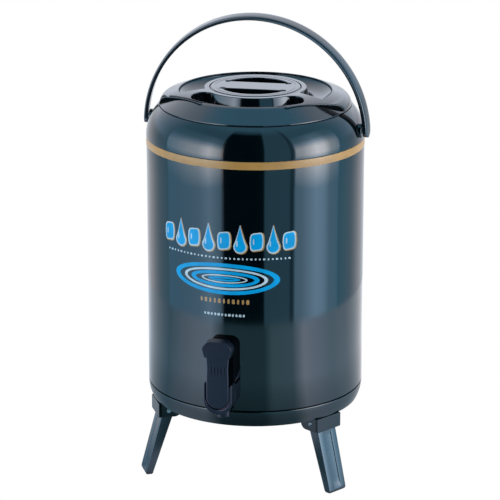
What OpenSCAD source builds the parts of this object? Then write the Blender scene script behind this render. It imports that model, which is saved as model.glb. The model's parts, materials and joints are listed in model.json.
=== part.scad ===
// Insulated water jug on three folding legs, with a push tap, a screw lid and a carrying bail.
// Frame: +Z up, origin on the floor under the middle of the jug, tap towards -Y.

/* [Body] */
// Outer diameter of the body
body_d = 240; // [236:1:244]
// Height of the seam between base and shell above the floor
seam_z = 104; // [102:1:108]
// Height of the outer shell
shell_h = 281; // [240:1:320]
// Thickness of the outer shell
shell_t = 2; // [1.5:0.5:2.5]
// Height of the gold band under the shoulder
band_h = 8.5; // [5:0.5:12]

/* [Shoulder, lid and cap] */
// Radius of the rounded shoulder
shoulder_round = 48; // [46:1:50]
// Diameter of the lid
lid_d = 210.8; // [209:0.2:212]
// Height of the lid's dome
dome_h = 18.5; // [17.5:0.5:20]
// Diameter of the centre cap
cap_d = 100; // [98:1:101]
// Angle at which the closed lid stops, seen from above
lid_stop = 5; // [-10:1:10]

/* [Handle] */
// Inner radius of the bail
bail_r = 123; // [123:0.5:125]
// Width of the bail strap
bail_w = 14.5; // [12:0.5:16]
// Thickness of the bail strap
bail_t = 4.8; // [4.5:0.1:5.5]
// Taper of the strap, so that it lies on the shoulder when it is folded back
bail_cone = 8; // [5:1:9]

/* [Tap] */
// Height of the tap's inlet above the floor
inlet_z = 134; // [133:1:140]
// Radius of the spout's bore
spout_bore_r = 5; // [4:0.5:5]

/* [Legs] */
// Width of a leg at its hinge
leg_w_top = 29.4; // [27:0.2:29.4]
// Width of a leg at its foot
leg_w_foot = 26.2; // [20:0.2:27]
// Radius of the legs' hinge pins
leg_pin_r = 2.5; // [2:0.1:3]

/* [Hidden] */
$fn = 96;
fine = 360;

navy = [0.05, 0.11, 0.13];
slate = [0.20, 0.26, 0.32];
dark = [0.07, 0.08, 0.11];
gold = [0.78, 0.62, 0.40];
white_pe = [0.88, 0.88, 0.85];
rubber = [0.10, 0.10, 0.10];
steel = [0.70, 0.70, 0.72];
foam_yellow = [0.90, 0.84, 0.62];

gap = 0.3;
body_r = body_d / 2;
shell_in = body_r - shell_t;
shell_top = seam_z + shell_h;
lid_r = lid_d / 2;
shoulder_r = body_r + 0.5;
shoulder_t = 3;
lip_depth = 8;
ring_flat = 3;
ring_skirt = 9;
arc_x = shoulder_r - shoulder_round;
seat_z = shell_top + sqrt(pow(shoulder_round, 2) - pow(lid_r - arc_x, 2));
lid_z = seat_z + gap;

skirt_out = shell_in - 0.2;
skirt_in = skirt_out - 3;
liner_r = 100;
liner_t = 2;
foam_in = liner_r + liner_t + gap;
base_skirt = 8;
liner_floor = seam_z + base_skirt + 1;
gasket_t = 2.4;
liner_top = lid_z - gasket_t;
mouth_r = lid_r - 0.6;

pivot_z = shell_top + 12;
bail_z = pivot_z - 6;
boss_r = 8.5;
boss_end = bail_r - 1.8;
boss_root = skirt_in - 4;
pin_end = boss_end + 4.2;
pin_r = 3.5;
run = 0.07;

// Lid, in its own frame: z = 0 is the lid's underside.
dome_flat = 60;
dome_edge = 11;
dome_a = lid_r - dome_flat;
// The crown is a little tighter than an arc that only touches the round edge, so the two cross cleanly.
dome_touch = (pow(dome_a - dome_edge, 2) + pow(dome_h, 2) - pow(dome_edge, 2)) / (2 * (dome_h - dome_edge));
dome_big = 0.96 * dome_touch;
dome_meet = lid_r - dome_edge + 4.6;
collar_r = 56.2;
well_r = cap_d / 2 + 0.6;
neck_r = 42;
ledge_z = 10;
pocket_r = 82;
pocket_floor = 2.8;
pocket_half = 45;
recess_r = 84;
recess_step = 3;
recess_start = 68;
wing_x = 46.8;
wing_y = -73.4;
wing_slope = 0.8755;
// Hollow under the lid, beside the pan.
hollow_in = 86.5;
hollow_out = 100;
hollow_h = 9.5;
hollow_rim = 1.2;
pan_r = 97.5;
pan_depth = 22.5;
pan_t = 2.2;

// Cap, in the lid's frame.
cap_seal_t = 1.3;
cap_under = ledge_z + cap_seal_t;
cap_top_z = dome_h + 0.6;
cap_body_r = neck_r - 1;
cap_round = 2;
plug_r = cap_body_r - 0.4;
plug_t = 2;
cap_floor = 3.5;
grip_half = 16;
grip_r = 38.5;
plug_depth = 20;

// Tap.
tap_half = 15.5;
tap_back = body_r + gap;
block_front = 153;
block_half = 15.8;
block_round_z = inlet_z - 8;
paddle_z = block_round_z + 4;
block_top = inlet_z + 11;
recess_back = 139;
rim_t = 1.5;
block_rise = 9;
upper_front = 143;
upper_top = inlet_z + 55;
upper_round = 9;
ear_r = 3.7;
ear_t = 6;
slot_half = 5.5;
chamber_y = 130.5;
chamber_r = 6.5;
seat_height = inlet_z - 18;
spout_r = 7.5;
spout_end = inlet_z - 32;
chamber_top = inlet_z + 38;
stem_r = 2;
seal_r = 6;
seal_t = 4;
seal_grip = 0.5;
spring_cup_r = 5.4;
spring_cup_t = 1.5;
head_r = 4;
head_t = 2;
head_gap = 0.5;
inlet_r = 9.5;
channel_r = 6;
gasket_r = 14.2;
wall_hole_r = 10.2;
lever_y = 148;
lever_z = inlet_z + 51;
lever_front = 155.5;
lever_t = 3.6;
crease = inlet_z + 42;
lever_top = crease + 18.5;
hood_front = 157;
hood_back = 144.6;
hood_t = 2;
paddle_half = 12.3;
lever_pin_r = 1.8;
arm_z = inlet_z + 44;
arm_t = 3;
arm_half = 4.5;
arm_reach = 1.5;
spring_low = inlet_z + 18;
spring_r = 4.4;
wire_r = 0.5;
coils = 6;

// Legs, in a frame with +X outwards and +Y along the hinge.
LEFT = -150;
RIGHT = -30;
REAR = 90;
hinge_x = 104.5;
hinge_z = seam_z - 27.5;
hub_r = 6;
lean = 15.4;
rim_z = seam_z - 19;
plate_z = seam_z - 14;
plate_t = 3;
base_round = 40;
base_t = 3;
foot_x = 130.2;
foot_h = 3.2;
leg_t_foot = 8.4;
leg_taper = 0.068;
bracket_out = 116;
bracket_in = 112.5;
bracket_back = 90;
bracket_round = 8;
bracket_low = hinge_z - 7.5;
bracket_half = 18.2;
ear_in = 15.2;
screw_x = 93.5;
screw_y = 9;
screw_r = 1.9;
screw_head_r = 3.4;
screw_boss_r = 5;
channel_w = 11;
channel_l = 54;
channel_t = 0.9;

module ring_2d(r0, r1, z0, z1) translate([r0, z0]) square([r1 - r0, z1 - z0]);
module tube(r0, r1, z0, z1) rotate_extrude() ring_2d(r0, r1, z0, z1);
// A cylinder along Y, from y0 to y1.
module along_y(r, y0, y1) translate([0, y1, 0]) rotate([90, 0, 0]) cylinder(r = r, h = y1 - y0);
// A cylinder along X, from x0 to x1.
module along_x(r, x0, x1) translate([x0, 0, 0]) rotate([0, 90, 0]) cylinder(r = r, h = x1 - x0);
module rounded_2d(w, h, r) {
    square([w - 2 * r, h], center = true);
    square([w, h - 2 * r], center = true);
    for (x = [-1, 1], y = [-1, 1]) translate([x * (w / 2 - r), y * (h / 2 - r)]) circle(r, $fn = 32);
}

// ---- Body ----
module body_shell() color(navy) difference() {
    tube(shell_in, body_r, seam_z + 0.2, shell_top - 0.2);
    translate([0, 0, inlet_z]) along_y(wall_hole_r, -body_r - 5, -body_r + 15);
}

module gold_band() color(gold)
    tube(body_r, body_r + 0.4, shell_top - 0.2 - band_h, shell_top - 0.2);

module shoulder_ring() color(navy) difference() {
    union() {
        rotate_extrude() {
            difference() {
                shoulder_2d(shoulder_round);
                translate([arc_x, shell_top]) circle(shoulder_round - shoulder_t);
            }
            intersection() {
                shoulder_2d(shoulder_round);
                union() {
                    ring_2d(mouth_r, lid_r + lip_depth, seat_z - lip_depth, seat_z);
                    ring_2d(skirt_in, shoulder_r, shell_top, shell_top + ring_flat);
                }
            }
            ring_2d(skirt_in, skirt_out, shell_top - ring_skirt, shell_top + 1);
        }
        translate([0, 0, pivot_z]) {
            along_x(boss_r, boss_root, boss_end);
            along_x(boss_r, -boss_end, -boss_root);
        }
    }
    translate([0, 0, pivot_z]) along_x(pin_r, -boss_end - 1, boss_end + 1);
}

module shoulder_2d(r) intersection() {
    translate([arc_x, shell_top]) circle(r);
    ring_2d(mouth_r, shoulder_r + 1, shell_top, seat_z);
}

module inner_liner() color(white_pe) difference() {
    rotate_extrude() {
        ring_2d(0, liner_r + liner_t, liner_floor, liner_floor + liner_t);
        ring_2d(liner_r, liner_r + liner_t, liner_floor, liner_top);
        ring_2d(liner_r, mouth_r - gap, liner_top - liner_t, liner_top);
    }
    translate([0, 0, inlet_z]) along_y(inlet_r, -liner_r - 5, -liner_r + 5);
}

module foam_insulation() color(foam_yellow) difference() {
    rotate_extrude() {
        ring_2d(foam_in, skirt_out, seam_z + base_skirt + gap, shell_top - ring_skirt - 0.5);
        ring_2d(0, skirt_in - gap, seam_z - 2, liner_floor - gap);
        ring_2d(foam_in, skirt_in - gap, seam_z + base_skirt, liner_floor);
    }
    translate([0, 0, inlet_z]) along_y(wall_hole_r, -body_r, -liner_r);
}

module base_2d() {
    difference() {
        intersection() {
            translate([body_r - base_round, seam_z]) circle(base_round);
            ring_2d(body_r - base_round, body_r, rim_z, seam_z);
        }
        translate([body_r - base_round, seam_z]) circle(base_round - base_t);
    }
    ring_2d(0, body_r - 5, plate_z, plate_z + plate_t);
    ring_2d(skirt_in, skirt_out, seam_z - 4, seam_z + base_skirt);
}

module base_cover() color(navy) difference() {
    union() {
        rotate_extrude() base_2d();
        for_each_screw() translate([0, 0, plate_z + 1]) cylinder(r = screw_boss_r, h = 9);
    }
    for_each_screw() translate([0, 0, plate_z - 1]) cylinder(r = screw_r, h = 12);
}

// ---- Handle ----
module handle_pin(x0, x1) color(steel) translate([0, 0, pivot_z]) along_x(pin_r, x0, x1);
module handle_pin_left() handle_pin(-pin_end, -boss_root);
module handle_pin_right() handle_pin(boss_root, pin_end);

module handle_bail() color(slate) difference() {
    union() {
        start = asin((pivot_z - bail_z) / bail_r);
        translate([0, 0, bail_z]) rotate([90, 0, 0]) rotate_extrude(angle = 180 - 2 * start, start = start)
            translate([bail_r + bail_t / 2, 0]) rotate(bail_cone) rounded_2d(bail_t, bail_w, 1.5);
        for (s = [-1, 1]) translate([s * (bail_r + bail_t / 2 - 0.2), 0, pivot_z])
            rotate([0, 0, -s * bail_cone]) along_x(bail_w / 2, -bail_t / 2, bail_t / 2);
    }
    translate([0, 0, pivot_z]) along_x(pin_r + run, -pin_end - 1, pin_end + 1);
}

// ---- Lid ----
module on_lid() translate([0, 0, lid_z]) rotate([0, 0, lid_stop]) children();

module dome_2d() intersection() {
    square([lid_r, dome_h]);
    union() {
        square([dome_flat, dome_h]);
        translate([lid_r - dome_edge, 0]) circle(dome_edge);
        intersection() {
            translate([dome_flat, dome_h - dome_big]) circle(dome_big, $fn = fine);
            ring_2d(dome_flat, dome_meet, 0, dome_h);
        }
    }
}

function dome_at(r) = dome_h - dome_big + sqrt(pow(dome_big, 2) - pow(r - dome_flat, 2));

// The deep finger pocket in front, with round ends.
module pocket_cut() {
    mid = (collar_r + pocket_r) / 2;
    // The round ends are a hair narrower than the pocket, so that no two walls only just touch.
    half = (pocket_r - collar_r) / 2 - 0.03;
    rotate_extrude(angle = 2 * pocket_half, start = -90 - pocket_half)
        ring_2d(collar_r, pocket_r, pocket_floor, dome_h + 5);
    for (s = [-1, 1]) rotate([0, 0, -90 + s * pocket_half]) translate([mid, 0, pocket_floor])
        cylinder(r = half, h = dome_h);
}

// The lowered crescent in front of the pocket, between the two wings.
module crescent_cut() intersection() {
    rotate_extrude() polygon([[pocket_r - 1, dome_at(pocket_r - 1)], [lid_r + 2, -0.6],
        [lid_r + 2, dome_h + 5], [pocket_r - 1, dome_h + 5]]);
    linear_extrude(dome_h + 5) polygon([[-wing_x, wing_y], [wing_x, wing_y],
        [130, wing_y + (130 - wing_x) * wing_slope], [130, -130], [-130, -130],
        [-130, wing_y + (130 - wing_x) * wing_slope]]);
}

// The C-shaped recess behind: a small step down, then a hollow floor that falls to the collar.
module recess_cut() {
    floor_low = 3.8;
    low_r = 64;
    edge = dome_at(recess_r) - recess_step;
    hollow = (pow(recess_r - low_r, 2) + pow(edge - floor_low, 2)) / (2 * (edge - floor_low));
    rotate_extrude(angle = 360 - 2 * recess_start, start = -90 + recess_start) intersection() {
        ring_2d(collar_r, recess_r, 0, dome_h + 5);
        union() {
            translate([low_r, floor_low + hollow]) circle(hollow, $fn = 180);
            ring_2d(collar_r, recess_r, edge - 0.5, dome_h + 5);
        }
    }
}

module lid_shell() color(navy) on_lid() difference() {
    rotate_extrude() difference() {
        dome_2d();
        ring_2d(-1, neck_r, -1, dome_h + 1);
        ring_2d(neck_r - 1, well_r, ledge_z, dome_h + 1);
        polygon([[hollow_in, -1], [hollow_in, hollow_h], [hollow_out, hollow_rim], [hollow_out, -1]]);
    }
    pocket_cut();
    crescent_cut();
    recess_cut();
}

module lid_pan() color(white_pe) on_lid() rotate_extrude() {
    ring_2d(neck_r, pan_r, -pan_depth, -pan_depth + pan_t);
    ring_2d(neck_r, neck_r + pan_t, -pan_depth, 0);
    ring_2d(pan_r - pan_t, pan_r, -pan_depth, 0);
}

module lid_foam() color(foam_yellow) on_lid()
    tube(neck_r + pan_t + gap, pan_r - pan_t - gap, -pan_depth + pan_t, -gap);

module lid_gasket() color(rubber) on_lid() tube(pan_r + 0.5, mouth_r - 0.6, -gasket_t, 0);

// ---- Cap ----
module cap_top() color(navy) on_lid() difference() {
    rotate_extrude() {
        ring_2d(0, cap_body_r, 0, cap_under + 1);
        ring_2d(0, cap_d / 2, cap_under, cap_top_z - cap_round);
        ring_2d(0, cap_d / 2 - cap_round, cap_under, cap_top_z);
        translate([cap_d / 2 - cap_round, cap_top_z - cap_round]) circle(cap_round);
    }
    for (s = [-1, 1]) difference() {
        translate([0, 0, cap_floor]) cylinder(r = grip_r, h = cap_top_z);
        translate([-50, s > 0 ? -100 : -grip_half, 0]) cube([100, 100 + grip_half, 60]);
    }
}

module cap_plug() color(white_pe) on_lid() rotate_extrude() {
    ring_2d(0, plug_r, -plug_depth, -plug_depth + plug_t);
    ring_2d(plug_r - plug_t, plug_r, -plug_depth, 0);
}

module cap_foam() color(foam_yellow) on_lid()
    tube(0, plug_r - plug_t - gap, plug_t - plug_depth, -gap);

module cap_gasket() color(rubber) on_lid() tube(neck_r + 0.5, cap_d / 2 - 0.5, ledge_z, cap_under);

// ---- Tap ----
// A U shape from y0 to y1, round about the height low at the bottom.
module shield(half, y0, y1, low, top) translate([0, y1, 0]) rotate([90, 0, 0]) linear_extrude(y1 - y0) {
    translate([0, low]) circle(half);
    translate([-half, low]) square([2 * half, top - low]);
}

module tap_solid() {
    difference() {
        union() {
            shield(block_half, -block_front, -body_r + 3, block_round_z, block_top);
            translate([0, -body_r + 3, 0]) rotate([90, 0, 0]) linear_extrude(upper_front - body_r + 3) {
                translate([-tap_half, block_top - 5])
                    square([2 * tap_half, upper_top - upper_round - block_top + 5]);
                translate([-tap_half + upper_round, upper_top - 20])
                    square([2 * (tap_half - upper_round), 20]);
                for (s = [-1, 1]) translate([s * (tap_half - upper_round), upper_top - upper_round])
                    circle(upper_round);
            }
            // Top of the block, sloping up to the wall.
            translate([-block_half, 0, 0]) rotate([90, 0, 90]) linear_extrude(2 * block_half)
                polygon([[-recess_back, block_top - 5], [-recess_back, block_top],
                    [-body_r + 3, block_top + block_rise], [-body_r + 3, block_top - 5]]);
        }
        cylinder(r = tap_back, h = 400, $fn = fine);
        shield(block_half - rim_t, -block_front - 1, -recess_back, paddle_z, block_top + 1);
    }
    // Ears for the lever's pin.
    translate([0, 0, lever_z]) for (x = [8, -8 - ear_t]) translate([x, -lever_y, 0]) {
        along_x(ear_r, 0, ear_t);
        translate([0, 0, -ear_r]) cube([ear_t, 10, 2 * ear_r]);
    }
    translate([0, -chamber_y, spout_end]) cylinder(r = spout_r, h = 14);
    translate([0, 0, inlet_z]) along_y(inlet_r, -body_r - 8, -88);
}

module tap_housing() color(dark) difference() {
    tap_solid();
    translate([0, -chamber_y, 0]) {
        translate([0, 0, spout_end - 1]) cylinder(r = spout_bore_r, h = 40);
        translate([0, 0, seat_height]) cylinder(r = chamber_r, h = chamber_top - seat_height);
        cylinder(r = stem_r + 0.3, h = upper_top + 1);
        // Slot that the lever's arm moves in.
        translate([-slot_half, -30, arm_z - 3]) cube([2 * slot_half, 37, 11.5]);
    }
    translate([0, 0, inlet_z]) {
        along_y(channel_r, -chamber_y, -80);
        difference() {
            along_y(gasket_r + gap, -body_r - 3, -body_r + 4);
            along_y(inlet_r, -body_r - 4, -body_r + 5);
        }
    }
    translate([0, -lever_y, lever_z]) along_x(lever_pin_r, -20, 20);
}

module tap_gasket() color(rubber) difference() {
    translate([0, 0, inlet_z]) along_y(gasket_r, -body_r - 3, -body_r + 4);
    translate([0, 0, inlet_z]) along_y(inlet_r + 0.2, -body_r - 5, -body_r + 5);
    translate([0, 0, inlet_z - 30]) cylinder(r = body_r + 0.05, h = 60, $fn = fine);
}

module tap_washer() color(rubber) difference() {
    intersection() {
        translate([0, 0, inlet_z]) along_y(14, -liner_r - 1, -liner_r + 4);
        translate([0, 0, inlet_z - 30]) cylinder(r = liner_r - 0.05, h = 60, $fn = fine);
    }
    translate([0, 0, inlet_z]) along_y(inlet_r + 0.1, -liner_r - 5, -liner_r + 5);
}

module tap_nut() color(white_pe) difference() {
    translate([0, 0, inlet_z]) translate([0, -liner_r + 10, 0]) rotate([90, 0, 0])
        cylinder(r = 15, h = 5.8, $fn = 6);
    translate([0, 0, inlet_z]) along_y(inlet_r, -liner_r, -liner_r + 20);
}

// The lever: a hood over the housing's ears, a waist and a round-ended paddle.
module lever_2d() {
    hood_low = 14;
    hood_wide = 17;
    hood_top = 11;
    waist = inlet_z + 24;
    polygon([[-hood_low, crease], [hood_low, crease], [hood_wide, lever_top - 7],
        [hood_top, lever_top], [-hood_top, lever_top], [-hood_wide, lever_top - 7]]);
    polygon([[-13, crease + 1], [13, crease + 1], [12, waist + 6], [paddle_half, waist - 4],
        [paddle_half, paddle_z], [-paddle_half, paddle_z], [-paddle_half, waist - 4],
        [-12, waist + 6]]);
    translate([0, paddle_z]) circle(paddle_half);
}

module lever_solid() {
    ridge_w = 1.4;
    translate([0, -lever_front + lever_t, 0]) rotate([90, 0, 0]) linear_extrude(lever_t) lever_2d();
    difference() {
        translate([0, -hood_back, 0]) rotate([90, 0, 0]) linear_extrude(hood_front - hood_back)
            intersection() {
                lever_2d();
                translate([-20, crease]) square([40, 30]);
            }
        translate([-14.6, -lever_front + 3, crease - 1]) cube([29.2, 30, lever_top - hood_t - crease + 1]);
    }
    // Ridges for the thumb.
    for (i = [-2:2]) translate([i * 3.6 - ridge_w / 2, -lever_front - 0.6, inlet_z + 23])
        cube([ridge_w, 2, 9]);
    // Arm that lifts the valve stem.
    translate([-arm_half, -lever_front + 2, arm_z])
        cube([2 * arm_half, lever_front - 2 - chamber_y + arm_reach, arm_t]);
}

module tap_lever() color(dark) difference() {
    lever_solid();
    translate([0, -lever_y, lever_z]) along_x(lever_pin_r + run, -20, 20);
    // Fork round the stem.
    translate([-stem_r - 0.5, -chamber_y - stem_r - 1.4, arm_z - 1]) cube([2 * stem_r + 1, 20, arm_t + 2]);
}

module lever_pin() color(steel) translate([0, -lever_y, lever_z]) along_x(lever_pin_r, -15.9, 15.9);

module valve_stem() color(steel) translate([0, -chamber_y, 0]) {
    head_z = arm_z + arm_t + head_gap;
    tube(0, stem_r, seat_height + seal_grip, head_z + head_t);
    translate([0, 0, spring_low - spring_cup_t]) cylinder(r = spring_cup_r, h = spring_cup_t);
    translate([0, 0, head_z]) cylinder(r = head_r, h = head_t);
}

module valve_seal() color(rubber) translate([0, -chamber_y, 0]) difference() {
    translate([0, 0, seat_height]) cylinder(r = seal_r, h = seal_t);
    translate([0, 0, seat_height + seal_grip]) cylinder(r = stem_r, h = 10);
}

// Coil spring as a stack of wire rings joined by short posts.
module valve_spring() color(steel) translate([0, -chamber_y, 0]) {
    pitch = (chamber_top - spring_low - 2 * wire_r) / coils;
    for (i = [0:coils]) translate([0, 0, spring_low + wire_r + i * pitch])
        rotate_extrude() translate([spring_r, 0]) circle(wire_r, $fn = 24);
    for (i = [0:coils - 1]) rotate([0, 0, i * 180])
        translate([spring_r, 0, spring_low + wire_r + i * pitch])
            cylinder(r = wire_r * 0.9, h = pitch, $fn = 24);
}

// ---- Legs ----
module at_leg(angle) rotate([0, 0, angle]) children();
module for_each_screw() for (a = [LEFT, RIGHT, REAR], s = [-1, 1])
    at_leg(a) translate([screw_x, s * screw_y, 0]) children();
// A shape drawn in the (radius, height) plane, extruded along the hinge.
module across(half) translate([0, half, 0]) rotate([90, 0, 0]) linear_extrude(2 * half) children();

module bracket() difference() {
    across(bracket_half) {
        mid = bracket_back + bracket_round;
        low = bracket_low + bracket_round;
        translate([mid - 2, bracket_low]) square([bracket_out - mid + 2, rim_z - 0.1 - bracket_low]);
        translate([bracket_back, low]) square([10, plate_z - low]);
        translate([mid, low]) circle(bracket_round);
        translate([bracket_back, rim_z - 0.1]) square([21, plate_z - rim_z + 0.1]);
    }
    translate([80, -ear_in, bracket_low - 1])
        cube([bracket_in - 80, 2 * ear_in, rim_z - bracket_low + 0.9]);
    translate([hinge_x, -30, hinge_z]) along_y(leg_pin_r, 0, 60);
    for (s = [-1, 1]) translate([screw_x, s * screw_y, 0]) {
        translate([0, 0, rim_z - 1]) cylinder(r = screw_head_r + 0.2, h = 4);
        translate([0, 0, rim_z]) cylinder(r = screw_r, h = 10);
    }
}
module bracket_left() color(navy) at_leg(LEFT) bracket();
module bracket_right() color(navy) at_leg(RIGHT) bracket();
module bracket_rear() color(navy) at_leg(REAR) bracket();

module bracket_screws() color(steel) for_each_screw() {
    translate([0, 0, rim_z + 0.6]) cylinder(r = screw_head_r, h = 2.4);
    translate([0, 0, rim_z + 2]) cylinder(r = screw_r, h = 12);
}

module leg_pin() translate([hinge_x, 0, hinge_z]) along_y(leg_pin_r, -bracket_half, bracket_half);
module leg_pin_left() color(steel) at_leg(LEFT) leg_pin();
module leg_pin_right() color(steel) at_leg(RIGHT) leg_pin();
module leg_pin_rear() color(steel) at_leg(REAR) leg_pin();

// Side view of a leg: the outer face leans out and the inner face tapers towards the foot.
function outer_x(z) = foot_x - (z - foot_h) * tan(lean);
function inner_x(z) = outer_x(z) - leg_t_foot - (z - foot_h) * leg_taper;
module leg() difference() {
    intersection() {
        across(20) {
            polygon([[outer_x(foot_h), foot_h], [outer_x(hinge_z), hinge_z], [hinge_x, hinge_z],
                [inner_x(hinge_z - 7), hinge_z - 7], [inner_x(foot_h), foot_h]]);
            translate([hinge_x, hinge_z]) circle(hub_r);
        }
        rotate([90, 0, 90]) linear_extrude(200) polygon([
            [-leg_w_top / 2, seam_z], [leg_w_top / 2, seam_z], [leg_w_foot / 2, 0], [-leg_w_foot / 2, 0]]);
    }
    translate([hinge_x, 0, hinge_z]) along_y(leg_pin_r + run, -30, 30);
    // Shallow channel down the outer face.
    translate([foot_x, -channel_w / 2, foot_h]) rotate([0, -lean, 0]) translate([-channel_t, 0, 6])
        cube([10, channel_w, channel_l]);
}
module leg_left() color(slate) at_leg(LEFT) leg();
module leg_right() color(slate) at_leg(RIGHT) leg();
module leg_rear() color(slate) at_leg(REAR) leg();

module foot() across(leg_w_foot / 2) polygon([[inner_x(foot_h), foot_h], [outer_x(foot_h), foot_h],
    [foot_x - 0.8, 0.8], [foot_x - 1.8, 0], [inner_x(foot_h) + 1.6, 0], [inner_x(foot_h) + 0.6, 0.8]]);
module foot_left() color(rubber) at_leg(LEFT) foot();
module foot_right() color(rubber) at_leg(RIGHT) foot();
module foot_rear() color(rubber) at_leg(REAR) foot();

body_shell();
gold_band();
shoulder_ring();
inner_liner();
foam_insulation();
base_cover();
handle_pin_left();
handle_pin_right();
handle_bail();
lid_gasket();
lid_shell();
lid_pan();
lid_foam();
cap_gasket();
cap_top();
cap_plug();
cap_foam();
tap_housing();
tap_gasket();
tap_washer();
tap_nut();
tap_lever();
lever_pin();
valve_stem();
valve_seal();
valve_spring();
bracket_left();
bracket_right();
bracket_rear();
bracket_screws();
leg_pin_left();
leg_pin_right();
leg_pin_rear();
leg_left();
leg_right();
leg_rear();
foot_left();
foot_right();
foot_rear();
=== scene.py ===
import json
from math import asin, atan2, ceil, cos, hypot, pi, radians, sin, sqrt, tan
from math import degrees as to_degrees

import bmesh
import bpy
from mathutils import Matrix, Vector
from mathutils.geometry import delaunay_2d_cdt


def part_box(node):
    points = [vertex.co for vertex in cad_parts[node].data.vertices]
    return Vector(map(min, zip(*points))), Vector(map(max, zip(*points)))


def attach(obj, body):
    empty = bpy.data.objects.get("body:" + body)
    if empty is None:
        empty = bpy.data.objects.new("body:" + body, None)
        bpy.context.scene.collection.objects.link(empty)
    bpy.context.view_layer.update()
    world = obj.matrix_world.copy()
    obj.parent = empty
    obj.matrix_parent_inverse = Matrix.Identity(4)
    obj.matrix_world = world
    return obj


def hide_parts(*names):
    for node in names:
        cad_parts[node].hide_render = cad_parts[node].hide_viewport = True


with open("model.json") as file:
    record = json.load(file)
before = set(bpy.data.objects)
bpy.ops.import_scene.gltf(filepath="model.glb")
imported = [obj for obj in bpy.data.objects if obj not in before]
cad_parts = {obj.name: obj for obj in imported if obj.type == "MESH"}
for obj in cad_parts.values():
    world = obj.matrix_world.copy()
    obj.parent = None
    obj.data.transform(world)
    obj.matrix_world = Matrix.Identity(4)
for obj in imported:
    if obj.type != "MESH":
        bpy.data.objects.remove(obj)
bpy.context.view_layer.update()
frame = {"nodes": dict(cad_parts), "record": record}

# Insulated water jug on three folding legs. Helpers work in millimetres, and MM turns them into metres.
MM = 0.001
TURN = 2 * pi
SEGMENTS = 192


# ---- Measures read from the frame, in millimetres ----
def low(node, axis):
    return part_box(node)[0][axis] / MM


def high(node, axis):
    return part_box(node)[1][axis] / MM


body_r = high("body_shell", 0)
seam_z = low("body_shell", 2)
shell_top = high("body_shell", 2)
lid_z = low("lid_shell", 2)
lid_r = high("lid_shell", 0)
dome_h = high("lid_shell", 2) - lid_z
cap_r = high("cap_top", 0)
cap_h = high("cap_top", 2) - lid_z
pin_z = (low("handle_pin_left", 2) + high("handle_pin_left", 2)) / 2
boss_end = high("shoulder_ring", 0)
bracket_low = low("bracket_right", 2)
rim_z = low("base_cover", 2)
lever_top = high("tap_lever", 2)
tap_top = high("tap_housing", 2)
spout_end = low("tap_housing", 2)
inlet_z = (low("tap_nut", 2) + high("tap_nut", 2)) / 2
chamber_y = (low("valve_stem", 1) + high("valve_stem", 1)) / 2
hinge_z = (low("leg_pin_rear", 2) + high("leg_pin_rear", 2)) / 2
hinge_x = (low("leg_pin_rear", 1) + high("leg_pin_rear", 1)) / 2
foot_top = low("leg_rear", 2)

LID_TURN = radians(5)
LID_PLACE = Matrix.Translation((0, 0, lid_z * MM)) @ Matrix.Rotation(LID_TURN, 4, "Z")
LEG_ANGLES = {"left": -150, "right": -30, "rear": 90}


# ---- Materials ----
class Graph:
    """A node tree, with short calls for the nodes used here."""

    def __init__(self, tree):
        self.tree = tree

    def link(self, a, b):
        self.tree.links.new(a, b)

    def feed(self, socket, value):
        """Sets a number or a colour, or links another node's output."""
        if isinstance(value, bpy.types.NodeSocket):
            self.link(value, socket)
        elif isinstance(value, tuple):
            socket.default_value = (*value, 1)
        else:
            socket.default_value = value

    def add(self, kind, **inputs):
        node = self.tree.nodes.new("ShaderNode" + kind)
        for key, value in inputs.items():
            self.feed(node.inputs[key.replace("_", " ")], value)
        return node

    def maths(self, operation, a, b):
        node = self.add("Math")
        node.operation = operation
        self.feed(node.inputs[0], a)
        self.feed(node.inputs[1], b)
        return node.outputs[0]

    def ramp(self, value, low_value, high_value, start=0.3, end=0.7):
        """Maps a value to a range of numbers."""
        return self.add("MapRange", Value=value, From_Min=start, From_Max=end,
            To_Min=low_value, To_Max=high_value).outputs["Result"]

    def colours(self, value, stops):
        """A colour ramp of (position, colour), linear between its stops."""
        node = self.add("ValToRGB", Fac=value)
        ramp = node.color_ramp
        while len(ramp.elements) < len(stops):
            ramp.elements.new(0.5)
        for element, (position, colour) in zip(ramp.elements, stops):
            element.position = position
            element.color = (*colour, 1)
        return node.outputs["Color"]

    def mix(self, share, first, second, blend="MIX"):
        node = self.add("Mix")
        node.data_type = "RGBA"
        node.blend_type = blend
        for key, value in (("Factor", share), ("A", first), ("B", second)):
            self.feed(node.inputs[key], value)
        return node.outputs["Result"]

    def show(self, seen, lit, output):
        """Shows one shader to the camera and another to every other ray."""
        pick = self.add("MixShader", Fac=self.add("LightPath").outputs["Is Camera Ray"])
        self.link(lit.outputs[0], pick.inputs[1])
        self.link(seen.outputs[0], pick.inputs[2])
        self.link(pick.outputs[0], self.tree.nodes[output].inputs["Surface"])


class Surface(Graph):
    """A material and its shader."""

    def __init__(self, name):
        self.material = bpy.data.materials.new(name)
        self.material.use_nodes = True
        super().__init__(self.material.node_tree)
        self.shader = self.tree.nodes["Principled BSDF"]
        self.place = self.add("TexCoord").outputs["Object"]

    def set(self, **inputs):
        for key, value in inputs.items():
            self.feed(self.shader.inputs[key.replace("_", " ")], value)

    def noise(self, scale, detail=2.0):
        return self.add("TexNoise", Vector=self.place, Scale=scale, Detail=detail).outputs["Fac"]

    def tint(self, value, first, second, start=0.3, end=0.7):
        self.set(Base_Color=self.colours(value, [(start, first), (end, second)]))

    def bump(self, height, strength, distance):
        node = self.add("Bump", Height=height, Strength=strength, Distance=distance)
        self.set(Normal=node.outputs["Normal"])


def shade(colour, factor):
    return tuple(c * factor for c in colour)


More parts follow.
